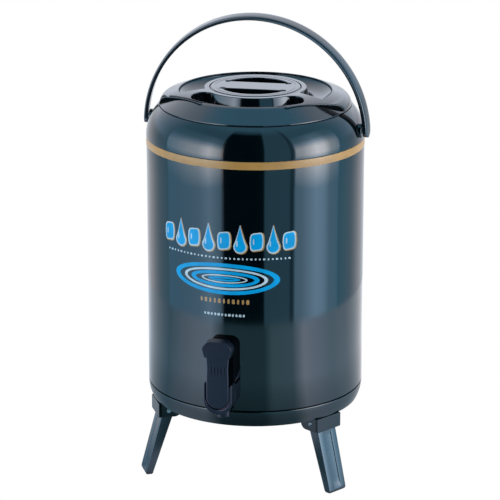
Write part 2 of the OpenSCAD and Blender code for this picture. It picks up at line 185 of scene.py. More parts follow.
def moulded(name, colour, roughness, grain_size=0.0006, grain=0.06, spread=0.04, **shader):
    """Moulded plastic or paint: fine grain in the surface and slow changes in gloss and colour."""
    gloss_scale, tint_scale = 14, 60
    grain_height = 0.00004
    m = Surface(name)
    m.set(Roughness=m.ramp(m.noise(gloss_scale), roughness - spread / 2, roughness + spread / 2), **shader)
    m.tint(m.noise(tint_scale, 4), shade(colour, 0.88), shade(colour, 1.12))
    m.bump(m.noise(1 / grain_size, 3), grain, grain_height)
    return m.material


def metal(name, colour, roughness):
    """Steel with fine scratches and a slightly uneven polish."""
    scratch_scale, tint_scale = 900, 80
    m = Surface(name)
    scratch = m.noise(scratch_scale, 4)
    m.set(Metallic=1.0, Roughness=m.ramp(scratch, roughness - 0.06, roughness + 0.1))
    m.tint(m.noise(tint_scale), shade(colour, 0.9), colour)
    m.bump(scratch, 0.15, 0.00003)
    return m.material


def foam(name, colour):
    """Cut foam: open cells in the surface, with painted shade that darkens the hollow of each cell."""
    cell_scale, cell_depth = 420.0, 0.0006
    m = Surface(name)
    cells = m.add("TexVoronoi", Vector=m.place, Scale=cell_scale).outputs["Distance"]
    m.set(Roughness=0.9)
    m.tint(cells, shade(colour, 0.7), colour, 0.05, 0.5)
    m.bump(cells, 0.5, cell_depth)
    return m.material


body_paint = moulded("body_paint", (0.0004, 0.0014, 0.0018), 0.07, grain=0.02, spread=0.03, IOR=1.5)
lid_plastic = moulded("lid_plastic", (0.0006, 0.0014, 0.0019), 0.09, grain=0.03, IOR=1.52)
# Painted shade: a dull, near-black copy of the lid plastic for the walls under the lid's wings, which stand
# in shadow.
lid_shade = moulded("lid_shade", (0.0001, 0.0004, 0.0007), 0.4, grain=0.03, IOR=1.05)
base_plastic = moulded("base_plastic", (0.0008, 0.0024, 0.0030), 0.18, grain=0.05, IOR=1.5)
leg_plastic = moulded("leg_plastic", (0.0045, 0.008, 0.012), 0.22, grain=0.10, IOR=1.72)
handle_plastic = moulded("handle_plastic", (0.0040, 0.0062, 0.0085), 0.16, grain=0.04, IOR=1.6)
tap_plastic = moulded("tap_plastic", (0.0030, 0.0036, 0.0068), 0.2, grain=0.12, IOR=1.5,
    Specular_Tint=(0.94, 0.76, 0.94))
# Painted shade: a dull, near-black copy of the tap plastic for the tap's tower, which stands in shadow behind
# the lever's hood.
tap_shade = moulded("tap_shade", (0.0003, 0.0005, 0.0009), 0.45, grain=0.12, IOR=1.08)
gold_paint = moulded("gold_paint", (0.30, 0.13, 0.030), 0.3, grain=0.04, IOR=1.4)
liner_plastic = moulded("liner_plastic", (0.78, 0.79, 0.76), 0.38, grain=0.08)
rubber = moulded("rubber", (0.012, 0.012, 0.013), 0.62, grain=0.3, spread=0.1)
steel = metal("steel", (0.62, 0.62, 0.64), 0.28)
foam_core = foam("foam_core", (0.80, 0.70, 0.42))
ink_cyan = moulded("ink_cyan", (0.0, 0.18, 0.33), 0.3, grain=0.04, IOR=1.28)
ink_white = moulded("ink_white", (0.34, 0.33, 0.32), 0.2, grain=0.04)
ink_tan = moulded("ink_tan", (0.26, 0.12, 0.035), 0.25, grain=0.04)

SLOT_OF = {"body_paint": body_paint, "lid_plastic": lid_plastic, "base_plastic": base_plastic,
    "handle_plastic": handle_plastic, "tap_plastic": tap_plastic, "gold": gold_paint,
    "liner": liner_plastic, "foam": foam_core, "rubber": rubber, "steel": steel}


# ---- Mesh helpers ----
# Radius that stands for the axis of a turned shape.
AXIS_R = 0.01


def rounded(corners, steps=4, closed=True):
    """An outline of (x, y, radius) corners, with each corner turned into an arc."""
    out = []
    for i, (x, y, radius) in enumerate(corners):
        corner = Vector((x, y))
        if radius <= 0 or (not closed and i in (0, len(corners) - 1)):
            out.append((x, y))
            continue
        before = (Vector(corners[i - 1][:2]) - corner).normalized()
        after = (Vector(corners[(i + 1) % len(corners)][:2]) - corner).normalized()
        half = before.angle(after) / 2
        centre = corner + (before + after).normalized() * (radius / sin(half))
        start = corner + before * (radius / tan(half)) - centre
        end = corner + after * (radius / tan(half)) - centre
        swept = atan2(start.x * end.y - start.y * end.x, start.dot(end))
        for k in range(steps + 1):
            a = swept * k / steps
            out.append((centre.x + start.x * cos(a) - start.y * sin(a),
                centre.y + start.x * sin(a) + start.y * cos(a)))
    return out


def arc(cx, cy, radius, a0, a1, step=2.0, ends=True):
    """Points on an arc, about step millimetres apart, without its ends if ends is false."""
    count = max(2, ceil(abs(a1 - a0) * radius / step))
    picks = range(count + 1) if ends else range(1, count)
    return [(cx + radius * cos(a0 + (a1 - a0) * k / count),
        cy + radius * sin(a0 + (a1 - a0) * k / count)) for k in picks]


def add_loops(bm, loops, closed_along=False, closed_round=True, capped=False):
    """Skins a row of loops that have the same number of points."""
    rows = [[bm.verts.new(Vector(p) * MM) for p in loop] for loop in loops]
    count = len(rows[0])
    around = range(count) if closed_round else range(count - 1)
    for i in range(len(rows) if closed_along else len(rows) - 1):
        a, b = rows[i], rows[(i + 1) % len(rows)]
        for j in around:
            k = (j + 1) % count
            bm.faces.new((a[j], a[k], b[k], b[j]))
    if capped:
        bm.faces.new(rows[0])
        bm.faces.new(rows[-1])


def add_lathe(bm, outline, segments=SEGMENTS, closed=True, move=None):
    """Turns a (radius, height) outline about Z. move places the result."""
    place = move or (lambda p: p)
    loops = []
    for i in range(segments):
        a = TURN * i / segments
        loops.append([place((r * cos(a), r * sin(a), z)) for r, z in outline])
    add_loops(bm, loops, closed_along=True, closed_round=closed)


def add_slab(bm, outline, y0, y1):
    """Extrudes an (x, z) outline along Y."""
    add_loops(bm, [[(x, y, z) for x, z in outline] for y in (y0, y1)], capped=True)


def turned(degrees):
    return Matrix.Rotation(radians(degrees), 4, "Z")


def make(name, bm, material, body, stands_for=(), sharp=38, bevel=0, place=None):
    """Turns a bmesh into a piece that rides on a body."""
    bmesh.ops.remove_doubles(bm, verts=bm.verts, dist=0.000002)
    bmesh.ops.recalc_face_normals(bm, faces=bm.faces)
    if place is not None:
        bm.transform(place)
    mesh = bpy.data.meshes.new(name)
    bm.to_mesh(mesh)
    bm.free()
    mesh.materials.append(material)
    for polygon in mesh.polygons:
        polygon.use_smooth = True
    obj = bpy.data.objects.new(name, mesh)
    bpy.context.scene.collection.objects.link(obj)
    if bevel:
        cut = obj.modifiers.new("edges", "BEVEL")
        cut.width = bevel * MM
        cut.segments = 3
        cut.limit_method = "ANGLE"
        cut.angle_limit = radians(25)
        cut.harden_normals = True
    else:
        mesh.set_sharp_from_angle(angle=radians(sharp))
    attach(obj, body)
    if stands_for:
        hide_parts(*stands_for)
    return obj


# ---- Sunk shapes in the lid and the cap ----
# How far a steep wall leans, and how much of a quarter circle its rounded edges use.
WALL_DRAFT = 0.16
STEEPEST = 0.985


def curl(u):
    """Drop of a rounded edge, from 0 at u = 0 to 1 at u = 1."""
    return (1 - sqrt(1 - (STEEPEST * u) ** 2)) / (1 - sqrt(1 - STEEPEST ** 2))


def carve(top, floor, distance, round_top, round_low):
    """Height where a pocket with a floor is sunk into a surface. distance is negative inside the pocket."""
    depth = top - floor
    if depth <= 0 or distance >= round_top:
        return top
    part_top = min(round_top / depth, 0.45)
    part_low = min(round_low / depth, 0.45)
    if distance >= 0:
        return top - depth * part_top * curl(1 - distance / round_top)
    inside = -distance
    if inside <= WALL_DRAFT:
        return top - depth * (part_top + (1 - part_top - part_low) * inside / WALL_DRAFT)
    if inside < WALL_DRAFT + round_low:
        return floor + depth * part_low * curl(1 - (inside - WALL_DRAFT) / round_low)
    return floor


def wall_offsets(round_top, round_low):
    """Distances from a pocket's outline at which its rounded wall needs mesh lines."""
    steps = (1.0, 0.75, 0.5, 0.3, 0.14, 0.04, 0.0)
    top = [round_top * s for s in steps]
    foot = [-WALL_DRAFT - round_low * s for s in reversed(steps)]
    return top + [-WALL_DRAFT / 2] + foot


def both_less(a, b, corner):
    """Signed distance to the overlap of two areas, with its corners rounded."""
    a, b = a + corner, b + corner
    return min(max(a, b), 0) + hypot(max(a, 0), max(b, 0)) - corner


def relief(name, height, lines, radii, near_wall, profile, material, body, node):
    """A round moulding: its top is height(x, y), its other sides are a turned profile that runs from the
    outer edge of the top to the inner edge. lines are the mesh lines that follow the walls."""
    points, edges = [], []

    def add_line(line, closed):
        start = len(points)
        points.extend(Vector(p) for p in line)
        edges.extend((start + k, start + k + 1) for k in range(len(line) - 1))
        if closed:
            edges.append((len(points) - 1, start))

    for r in radii:
        add_line([(r * cos(TURN * k / SEGMENTS), r * sin(TURN * k / SEGMENTS))
            for k in range(SEGMENTS)], True)
    for line, closed in lines:
        add_line(line, closed)
    inner, outer = radii[0], radii[-1]
    spacing, clear = 2.6, 0.8
    for i in range(1, int((outer - inner) / spacing)):
        r = inner + i * spacing
        count = int(TURN * r / spacing)
        for k in range(count):
            a = TURN * (k + (i % 2) / 2) / count
            p = (r * cos(a), r * sin(a))
            if not near_wall(*p) and min(abs(r - q) for q in radii) > clear:
                points.append(Vector(p))
    spots, _, faces = delaunay_2d_cdt(points, edges, [], 0, 1e-5)[:3]
    bm = bmesh.new()
    verts = [bm.verts.new((p.x * MM, p.y * MM, height(p.x, p.y) * MM)) for p in spots]
    for face in faces:
        middle = sum((spots[k] for k in face), Vector((0, 0))) / len(face)
        if inner - 0.01 < middle.length:
            bm.faces.new([verts[k] for k in face])
    bmesh.ops.delete(bm, geom=[v for v in bm.verts if not v.link_faces], context="VERTS")
    add_lathe(bm, profile, closed=False)
    bmesh.ops.remove_doubles(bm, verts=bm.verts, dist=0.00001)
    obj = make(name, bm, material, body, [node], place=LID_PLACE)
    smooth_relief(obj, height, inner, outer)
    return obj


def smooth_relief(obj, height, inner, outer):
    """Gives the top of a relief the normals of its height function."""
    mesh = obj.data
    back = LID_PLACE.inverted()
    reach, border, close = 0.02, 0.05, 0.01
    known = {}
    for v in mesh.vertices:
        p = back @ v.co / MM
        r = hypot(p.x, p.y)
        on_top = abs(height(p.x, p.y) - p.z) < close and inner + border < r < outer - border
        if on_top:
            dx = (height(p.x + reach, p.y) - height(p.x - reach, p.y)) / (2 * reach)
            dy = (height(p.x, p.y + reach) - height(p.x, p.y - reach)) / (2 * reach)
            known[v.index] = (LID_PLACE.to_3x3() @ Vector((-dx, -dy, 1))).normalized()
    normals = [known.get(loop.vertex_index, (0, 0, 0)) for loop in mesh.loops]
    mesh.normals_split_custom_set(normals)


DOME_FLAT = 60
DOME_EDGE = 11
DOME_MEET = lid_r - DOME_EDGE + 4.6
dome_touch = ((lid_r - DOME_FLAT - DOME_EDGE) ** 2 + dome_h ** 2 - DOME_EDGE ** 2) / (
    2 * (dome_h - DOME_EDGE))
dome_big = 0.96 * dome_touch
POCKET_IN, POCKET_OUT, POCKET_FLOOR = 56.2, 82.0, 2.8
POCKET_HALF = radians(45)
pocket_mid = (POCKET_IN + POCKET_OUT) / 2
pocket_half = (POCKET_OUT - POCKET_IN) / 2
RECESS_OUT = 84.0
RECESS_HALF = radians(112)
RECESS_CORNER = 3.0
RECESS_LOW_R, RECESS_LOW, RECESS_STEP = 64.0, 3.8, 3
WING_X, WING_Y = 46.8, -73.4
WING_SLOPE = 0.8755
WELL_R = cap_r + 0.6
NECK_R = 42.0
LEDGE_Z = 10.0
EDGE_TOP, EDGE_LOW = 0.9, 1.6
STEP_LOW = 0.8
WING_TOP, WING_LOW = 0.8, 0.5
COLLAR_SLOPE = 3.6
collar_foot = POCKET_IN + (dome_h - EDGE_TOP - POCKET_FLOOR) / COLLAR_SLOPE
CRESCENT_IN = POCKET_OUT + 1.6
# Where mesh lines go round the rounded rims of the lid and of the cap, in degrees.
RIM_ANGLES = (0, 12, 24, 36, 47, 57, 66, 74, 81, 86)
CAP_RIM_ANGLES = (0, 20, 40, 57, 71, 82)


def dome(r):
    """Height of the lid's dome over its underside."""
    if r <= DOME_FLAT:
        return dome_h
    top = dome_h - dome_big + sqrt(max(dome_big ** 2 - (r - DOME_FLAT) ** 2, 0))
    if r < lid_r - DOME_EDGE:
        return top
    edge = sqrt(max(DOME_EDGE ** 2 - (r - lid_r + DOME_EDGE) ** 2, 0))
    return max(top, edge) if r < DOME_MEET else edge


recess_edge = dome(RECESS_OUT) - RECESS_STEP
recess_hollow = ((RECESS_OUT - RECESS_LOW_R) ** 2 + (recess_edge - RECESS_LOW) ** 2) / (
    2 * (recess_edge - RECESS_LOW))


def recess_floor(r):
    rise = sqrt(max(recess_hollow ** 2 - (r - RECESS_LOW_R) ** 2, 0))
    return RECESS_LOW + recess_hollow - rise


def crescent_floor(r):
    """The lowered front: a level lip along the pocket, then a straight fall to a point past the rim."""
    past_rim, under = 2, 0.6
    fall = (dome(CRESCENT_IN) + under) / (lid_r + past_rim - CRESCENT_IN)
    return dome(CRESCENT_IN) - max(r - CRESCENT_IN, 0) * fall


def pocket_distance(x, y):
    r, a = hypot(x, y), atan2(x, -y)
    if abs(a) <= POCKET_HALF:
        return abs(r - pocket_mid) - pocket_half
    ex, ey = pocket_mid * sin(POCKET_HALF), -pocket_mid * cos(POCKET_HALF)
    return hypot(abs(x) - ex, y - ey) - pocket_half


def recess_distance(x, y):
    r, a = hypot(x, y), abs(atan2(x, y))
    side = r * sin(max(a - RECESS_HALF, -pi / 2))
    outer = both_less(r - RECESS_OUT, side, RECESS_CORNER)
    inner = both_less(POCKET_IN - r, side, RECESS_CORNER)
    return max(outer, inner)


def wing_distance(x, y):
    side = ((y - WING_Y) - (abs(x) - WING_X) * WING_SLOPE) / hypot(1, WING_SLOPE)
    return min(y - WING_Y, side)


def lid_height(x, y):
    r = hypot(x, y)
    z = carve(dome(r), recess_floor(r), recess_distance(x, y), EDGE_TOP, STEP_LOW)
    z = carve(z, crescent_floor(r), wing_distance(x, y), WING_TOP, WING_LOW)
    z = carve(z, POCKET_FLOOR, pocket_distance(x, y), EDGE_TOP, EDGE_LOW)
    if r <= POCKET_IN:
        return z
    # The collar round the cap leans back.
    return max(z, min(dome(r), dome_h - EDGE_TOP - (r - POCKET_IN) * COLLAR_SLOPE))


def pocket_line(d):
    """The pocket's outline, d outside its wall: two arcs round the lid, joined by round ends."""
    half, up = POCKET_HALF, -pi / 2
    line = arc(0, 0, pocket_mid + pocket_half + d, up - half, up + half)
    for side, start in ((1, 0), (-1, pi)):
        a = up + side * half
        cx, cy = pocket_mid * cos(a), pocket_mid * sin(a)
        line += arc(cx, cy, pocket_half + d, a + start, a + start + pi, 1.5, ends=False)
        if side > 0:
            line += arc(0, 0, pocket_mid - pocket_half - d, up + half, up - half)
    return line


def recess_line(d):
    """The recess's outline, d outside its wall: a ring sector with rounded corners."""
    up, c = pi / 2, RECESS_CORNER
    same_place = 0.01
    out_r, in_r = RECESS_OUT - c, POCKET_IN + c
    out_a = RECESS_HALF - asin(c / out_r)
    in_a = RECESS_HALF - asin(c / in_r)
    half = [(0, 0, RECESS_OUT + d, 0, out_a, 2.0),
        (out_r, out_a, c + d, out_a, RECESS_HALF + pi / 2, 0.8),
        (in_r, in_a, c + d, RECESS_HALF + pi / 2, in_a + pi, 0.8),
        (0, 0, POCKET_IN - d, in_a, 0, 2.0)]
    side = []
    for cr, ca, radius, a0, a1, step in half:
        part = arc(cr * cos(up + ca), cr * sin(up + ca), radius, up + a0, up + a1, step)
        if side and (Vector(side[-1]) - Vector(part[0])).length < same_place:
            part = part[1:]
        side += part
    mirror = [(-x, y) for x, y in reversed(side)]
    return side + mirror[1:-1]


def wing_lines():
    """Lines along both wing edges, from the pocket to the rim."""
    length = hypot(1, WING_SLOPE)
    before, reach, steps = 2, 60, 39
    lines = []
    for d in wall_offsets(WING_TOP, WING_LOW):
        line = []
        for k in range(steps + 1):
            x = WING_X - before + reach * k / steps
            p = Vector((x, WING_Y + (x - WING_X) * WING_SLOPE)) + Vector((-WING_SLOPE, 1)) * d / length
            if POCKET_OUT - 0.5 < p.length < lid_r - 0.02:
                line.append(tuple(p))
        lines += [(line, False), ([(-x, y) for x, y in line], False)]
    return lines


def near_lid_wall(x, y):
    margin = 1.3
    walls = ((pocket_distance(x, y), EDGE_TOP, EDGE_LOW), (recess_distance(x, y), EDGE_TOP, STEP_LOW),
        (wing_distance(x, y), WING_TOP, WING_LOW))
    return any(-WALL_DRAFT - foot - margin < d < top + margin for d, top, foot in walls)


def make_lid():
    lines = [(pocket_line(d), True) for d in wall_offsets(EDGE_TOP, EDGE_LOW)]
    lines += [(recess_line(d), True) for d in wall_offsets(EDGE_TOP, STEP_LOW)]
    lines += wing_lines()
    rim = [lid_r - DOME_EDGE * (1 - sin(radians(a))) for a in RIM_ANGLES]
    collar = [collar_foot + d for d in (-1.7, -0.4, 0, 0.3)]
    radii = [WELL_R, WELL_R + 0.4, WELL_R + 1.0, *collar, CRESCENT_IN, *rim, lid_r]
    profile = [(lid_r, 0), (lid_r - 0.8, 0), (NECK_R, 0), (NECK_R, LEDGE_Z), (WELL_R, LEDGE_Z),
        (WELL_R, lid_height(WELL_R, 0))]
    lid = relief("lid_moulding", lid_height, lines, radii, near_lid_wall, profile, lid_plastic,
        "lid", "lid_shell")
    paint_shade_on_wing_walls(lid)


def paint_shade_on_wing_walls(lid):
    """Paints shade onto the steep walls under the wings: their faces get a dull, dark second material, as
    painted shade.
    """
    lid.data.materials.append(lid_shade)
    back = LID_PLACE.inverted()
    wall_foot, wall_top = -WALL_DRAFT - WING_LOW - 0.1, 0.02
    rim_z = 0.3
    for face in lid.data.polygons:
        p = back @ face.center / MM
        on_wall = wall_foot < wing_distance(p.x, p.y) < wall_top
        if on_wall and hypot(p.x, p.y) > POCKET_OUT and p.z > rim_z:
            face.material_index = 1


# ---- Cap ----
GRIP_R, GRIP_HALF, GRIP_FLOOR = 38.5, 16.0, 3.5
GRIP_CORNER = 3.5
GRIP_TOP, GRIP_LOW = 0.9, 3.0
GRIP_FLAT_R, GRIP_DISH = 20, 0.004
GROOVE_R, GROOVE_HALF, GROOVE_DEPTH = 44.2, 0.55, 0.35
CAP_EDGE = 2.4
CAP_UNDER = 11.3


def cap_dome(r):
    if r <= cap_r - CAP_EDGE:
        return cap_h
    return cap_h - CAP_EDGE + sqrt(max(CAP_EDGE ** 2 - (r - cap_r + CAP_EDGE) ** 2, 0))


def grip_distance(x, y):
    return both_less(hypot(x, y) - GRIP_R, GRIP_HALF - abs(y), GRIP_CORNER)


def cap_height(x, y):
    r = hypot(x, y)
    floor = GRIP_FLOOR + GRIP_DISH * max(r - GRIP_FLAT_R, 0) ** 2
    z = carve(cap_dome(r), floor, grip_distance(x, y), GRIP_TOP, GRIP_LOW)
    across = abs(r - GROOVE_R) / GROOVE_HALF
    return z - GROOVE_DEPTH * max(0, 1 - across ** 2)


def grip_line(d, side):
    """Outline of a finger recess, d outside its wall: part of a circle cut off along the grip bar."""
    c = GRIP_CORNER
    cy = GRIP_HALF + c
    cx = sqrt((GRIP_R - c) ** 2 - cy ** 2)
    a = atan2(cy, cx)
    line = arc(0, 0, GRIP_R + d, pi / 2, a) + arc(cx, cy, c + d, a, -pi / 2, 0.8)[1:]
    count = 12
    line += [(cx - cx * k / count, GRIP_HALF - d) for k in range(1, count)]
    line += [(-x, y) for x, y in reversed(line)][0:-1]
    return [(x, side * y) for x, y in line]


def near_cap_wall(x, y):
    margin = 1.2
    return -WALL_DRAFT - GRIP_LOW - margin < grip_distance(x, y) < GRIP_TOP + margin


def make_cap():
    lines = [(grip_line(d, side), True) for side in (1, -1) for d in wall_offsets(GRIP_TOP, GRIP_LOW)]
    edge = [cap_r - CAP_EDGE * (1 - sin(radians(a))) for a in CAP_RIM_ANGLES]
    groove = [GROOVE_R + d for d in (-0.8, -GROOVE_HALF, -0.3, 0, 0.3, GROOVE_HALF, 0.8)]
    radii = [AXIS_R, *groove, *edge, cap_r]
    neck = NECK_R - 1
    profile = [(cap_r, cap_h - CAP_EDGE), (cap_r, CAP_UNDER + 0.3), (cap_r - 0.3, CAP_UNDER),
        (neck, CAP_UNDER), (neck, 0.4), (neck - 0.4, 0), (AXIS_R, 0)]
    relief("cap_moulding", cap_height, lines, radii, near_cap_wall, profile, lid_plastic,
        "cap", "cap_top")


# ---- Body ----
def ring_outline(centre_r, centre_z, radius, z0, z1, steps):
    """Points (radius, height) on a round profile between two heights."""
    out = []
    a0, a1 = asin((z0 - centre_z) / radius), asin((z1 - centre_z) / radius)
    for k in range(steps + 1):
        a = a0 + (a1 - a0) * k / steps
        out.append((centre_r + radius * cos(a), centre_z + radius * sin(a)))
    return out


SHELL_T = 2.0
SHOULDER_ROUND, SHOULDER_T = 48.0, 3
BOSS_R, BOSS_RIM, BOSS_HOLE_R = 8.5, 2.2, 3.6
BASE_ROUND, BASE_T = 40.0, 3
BASE_RIBS = (84, 62, 40, 18)


def make_body():
    inner, rows = body_r - SHELL_T, 8
    middle = [(body_r, seam_z + (shell_top - seam_z) * k / rows, 0) for k in range(1, rows)]
    bm = bmesh.new()
    add_lathe(bm, rounded([(inner, seam_z, 0.4), (body_r, seam_z, 0.9), *middle, (body_r, shell_top, 0.6),
        (inner, shell_top, 0.4)]))
    make("body_wall", bm, body_paint, "jug", ["body_shell"])

    z0, z1 = low("gold_band", 2), high("gold_band", 2)
    inner, outer = body_r - 0.3, high("gold_band", 0) - 0.15
    bm = bmesh.new()
    add_lathe(bm, rounded([(inner, z0, 0), (outer, z0, 0.1), (outer, z1, 0.1), (inner, z1, 0)]))
    make("gold_stripe", bm, gold_paint, "jug", ["gold_band"])


def make_shoulder():
    ring_r = high("shoulder_ring", 1)
    centre_r, centre_z = ring_r - SHOULDER_ROUND, shell_top + 0.2
    seat_z = lid_z - 0.3
    bm = bmesh.new()
    outer = ring_outline(centre_r, centre_z, SHOULDER_ROUND, centre_z + 0.9, seat_z - 0.5, 26)
    inner = ring_outline(centre_r, centre_z, SHOULDER_ROUND - SHOULDER_T, centre_z + SHOULDER_T,
        seat_z - 6, 12)
    skirt = body_r - SHELL_T - 0.2
    low_z = low("shoulder_ring", 2)
    edge = rounded([(ring_r - 4, centre_z, 0), (ring_r - 0.02, centre_z, 0.7), (*outer[0], 0)], closed=False)
    lip = [(outer[-1][0] - 0.35, seat_z - 0.12), (lid_r + 0.9, seat_z), (lid_r + 0.25, seat_z - 0.1),
        (lid_r, seat_z - 0.5), (lid_r - 0.6, seat_z - 0.7), (lid_r - 0.6, seat_z - 6.5)]
    outline = [(skirt, low_z), (skirt, centre_z), *edge, *outer[1:], *lip, *reversed(inner),
        (skirt - SHOULDER_T, centre_z), (skirt - SHOULDER_T, low_z)]
    add_lathe(bm, outline)
    start, dish_r = skirt - 7, BOSS_R - BOSS_RIM
    profile = rounded([(AXIS_R, start, 0), (BOSS_R, start, 0), (BOSS_R, boss_end, 1.2),
        (dish_r, boss_end, 0.4), (dish_r, boss_end - 0.5, 0.2), (BOSS_HOLE_R, boss_end - 0.5, 0.2),
        (BOSS_HOLE_R, boss_end - 2, 0), (AXIS_R, boss_end - 2, 0)])
    for side in (-1, 1):
        add_lathe(bm, profile, 64, move=lambda p: (side * p[2], p[0], p[1] + pin_z))
    make("shoulder_moulding", bm, body_paint, "jug", ["shoulder_ring"])


def make_base():
    plate_z = rim_z + 5
    top = seam_z - 0.2
    wall = body_r - 3.4
    groove = [(wall, top + 4), (wall, top - 1), (body_r - 0.9, top - 1), (body_r - 0.35, top - 1.15),
        (body_r - 0.08, top - 1.6)]
    outer = ring_outline(body_r - BASE_ROUND, seam_z, BASE_ROUND, seam_z - 2.6, rim_z + 1.2, 14)
    end_r = outer[-1][0]
    foot = rounded([(*outer[-1], 0), (end_r - 0.5, rim_z, 0.7), (end_r - 3.4, rim_z, 0.7),
        (end_r - 3.0, plate_z, 1.0), (100, plate_z, 0)], closed=False)
    ribs = []
    for r in BASE_RIBS:
        ribs += [(r + 1.2, plate_z), (r + 0.9, plate_z - 1.5), (r - 0.9, plate_z - 1.5), (r - 1.2, plate_z)]
    inside = wall - BASE_T
    upper = [(AXIS_R, plate_z), (AXIS_R, plate_z + BASE_T), (inside, plate_z + BASE_T), (inside, top + 4)]
    bm = bmesh.new()
    add_lathe(bm, groove + outer + foot + ribs + upper)
    make("base_moulding", bm, base_plastic, "jug", ["base_cover"])


# ---- Bail ----
BAIL_R, BAIL_W, BAIL_T = 123.0, 14.5, 4.8
BAIL_CONE = radians(8)
BAIL_DROP = 6.0


def strap_loop(centre, out, scale):
    """One section of the strap: a crowned outer face and rounded edges."""
    across = Vector((0, -1, 0)) * cos(BAIL_CONE) - out * sin(BAIL_CONE)
    thick = out * cos(BAIL_CONE) + Vector((0, -1, 0)) * sin(BAIL_CONE)
    half, deep = BAIL_W / 2, BAIL_T / 2
    section = rounded([(-half, -deep, 0.9), (half, -deep, 0.9), (half, deep - 0.35, 1.1),
        (half * 0.45, deep, 3), (-half * 0.45, deep, 3), (-half, deep - 0.35, 1.1)], 4)
    return [centre + across * a * scale + thick * b for a, b in section]


def end_rows(side, radius):
    """Rows of the strap's round end on one side, from its tip upwards."""
    half, steps, tip_width = BAIL_W / 2, 12, 0.12
    rows = []
    for k in range(1, steps + 1):
        down = half * cos(pi / 2 * k / steps)
        width = max(sqrt(max(half ** 2 - down ** 2, 0)) / half, tip_width)
        rows.append((Vector((side * (radius - 0.2), 0, pin_z - down)), Vector((side, 0, 0)), width))
    return rows


def make_bail():
    """Rows are (centre, outward direction, share of the full width)."""
    centre = Vector((0, 0, pin_z - BAIL_DROP))
    radius = BAIL_R + BAIL_T / 2
    start, steps = asin(BAIL_DROP / BAIL_R), 120
    rows = end_rows(1, radius)
    for k in range(1, steps):
        a = start + (pi - 2 * start) * k / steps
        out = Vector((cos(a), 0, sin(a)))
        rows.append((out * radius + centre, out, 1))
    rows += reversed(end_rows(-1, radius))
    bm = bmesh.new()
    add_loops(bm, [strap_loop(*row) for row in rows], capped=True)
    make("bail_strap", bm, handle_plastic, "handle", ["handle_bail"], sharp=50)


# ---- Tap ----
BLOCK_HALF, BLOCK_FRONT, BLOCK_RISE, RIM_T = 15.8, 153.0, 9, 1.5
TOWER_HALF, TOWER_FRONT, TOWER_ROUND, TOWER_RISE = 15.5, 143, 9, 2
SPOUT_R, SPOUT_BORE, SPOUT_LENGTH = 7.5, 5, 16
INLET_R, INLET_BORE, INLET_END = 9.5, 6, 88
PADDLE_HALF = 12.3
ARM_HALF, ARM_T = 4.5, 3
RIDGE_PITCH, RIDGE_HALF = 3.6, 0.7
block_round_z = inlet_z - 8
paddle_z = block_round_z + 4
block_top = inlet_z + 11
floor_y = -139.0
LEVER_FACE = 155.5


def u_shape(half, top, low):
    """A U outline in the (x, z) plane, round about the height low at the bottom."""
    return [(half, top), *arc(0, low, half, 0, -pi, 1.2), (-half, top)]


def make_tap_housing():
    wall = -body_r + 2.5
    rim_back = floor_y + 0.5
    outer = u_shape(BLOCK_HALF, block_top, block_round_z)
    inner = u_shape(BLOCK_HALF - RIM_T, block_top, paddle_z)
    bm = bmesh.new()
    add_slab(bm, outer + list(reversed(inner)), -BLOCK_FRONT, rim_back)
    # The block behind the paddle has a top that slopes up towards the wall.
    under = block_top - 4
    side = [(floor_y, under), (floor_y, block_top), (wall, block_top + BLOCK_RISE), (wall, under)]
    add_loops(bm, [[(x, y, z) for y, z in side] for x in (-BLOCK_HALF, BLOCK_HALF)], capped=True)
    add_slab(bm, outer, floor_y, wall)
    make("tap_block", bm, tap_plastic, "jug", ["tap_housing"], bevel=0.7)

    # Upper housing behind the lever's hood.
    low_z, top = block_top - 6, tap_top + TOWER_RISE
    upper = rounded([(-TOWER_HALF, low_z, 0), (TOWER_HALF, low_z, 0), (TOWER_HALF, top, TOWER_ROUND),
        (-TOWER_HALF, top, TOWER_ROUND)], 8)
    bm = bmesh.new()
    add_slab(bm, upper, -TOWER_FRONT, wall)
    # Painted shade: the tower gets the near-black tap_shade plastic instead of the tap plastic.
    tower = make("tap_tower", bm, tap_shade, "jug", ["tap_housing"], bevel=1.2)
    tower.visible_glossy = False

    spout_top = spout_end + SPOUT_LENGTH
    spout = rounded([(SPOUT_BORE, spout_end, 0.3), (SPOUT_R, spout_end, 0.8), (SPOUT_R, spout_top, 0),
        (SPOUT_BORE, spout_top, 0)])
    inlet = [(INLET_BORE, INLET_END), (INLET_R, INLET_END), (INLET_R, body_r - 1), (INLET_BORE, body_r - 1)]
    bm = bmesh.new()
    add_lathe(bm, spout, 64, move=lambda p: (p[0], p[1] + chamber_y, p[2]))
    add_lathe(bm, inlet, 64, move=lambda p: (p[0], -p[2], p[1] + inlet_z))
    make("tap_spout", bm, tap_plastic, "jug", ["tap_housing"])


